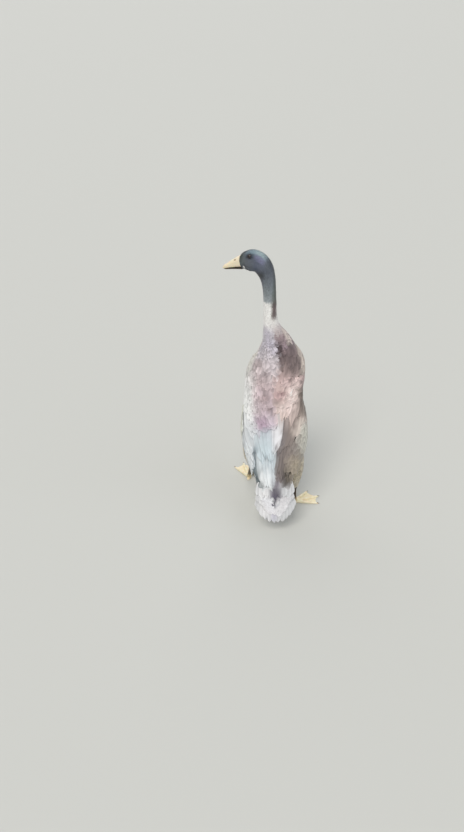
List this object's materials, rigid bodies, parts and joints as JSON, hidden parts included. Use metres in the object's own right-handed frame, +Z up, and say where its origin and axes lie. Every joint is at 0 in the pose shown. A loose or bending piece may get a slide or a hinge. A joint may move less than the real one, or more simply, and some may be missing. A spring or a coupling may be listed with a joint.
{
  "type": "indian runner duck",
  "caption": "Life-size runner duck standing upright with its head turned to its left, folded wings, a fanned tail and webbed feet.",
  "frame": {"origin": "middle of the bounding box at floor level, under the duck", "axes": "+Z up, the duck faces -Y, its left side is +X and its back is towards +Y"},
  "size_m": [0.2182, 0.2766, 0.597],
  "materials": {
    "mauve_plumage": "soft feathers, mauve to taupe",
    "pale_plumage": "soft feathers, silver white",
    "white_plumage": "soft feathers, white",
    "slate_plumage": "short sleek feathers, slate grey",
    "bill_horn": "smooth horn, pale cream",
    "bill_dark": "smooth horn, dark",
    "leg_skin": "scaled skin, pale apricot",
    "eye": "wet gloss, dark brown"
  },
  "bodies": {
    "root": {"torso": "mauve_plumage", "neck_lower": "pale_plumage", "neck_upper": "slate_plumage", "head": "slate_plumage", "bill_upper": "bill_horn", "bill_lower": "bill_dark", "eye_left": "eye", "eye_right": "eye", "wing_left": "pale_plumage", "wing_right": "mauve_plumage", "tail": "white_plumage", "thigh_left": "pale_plumage", "thigh_right": "pale_plumage", "shank_left": "leg_skin", "shank_right": "leg_skin", "foot_left": "leg_skin", "foot_right": "leg_skin"}
  },
  "joints": []
}
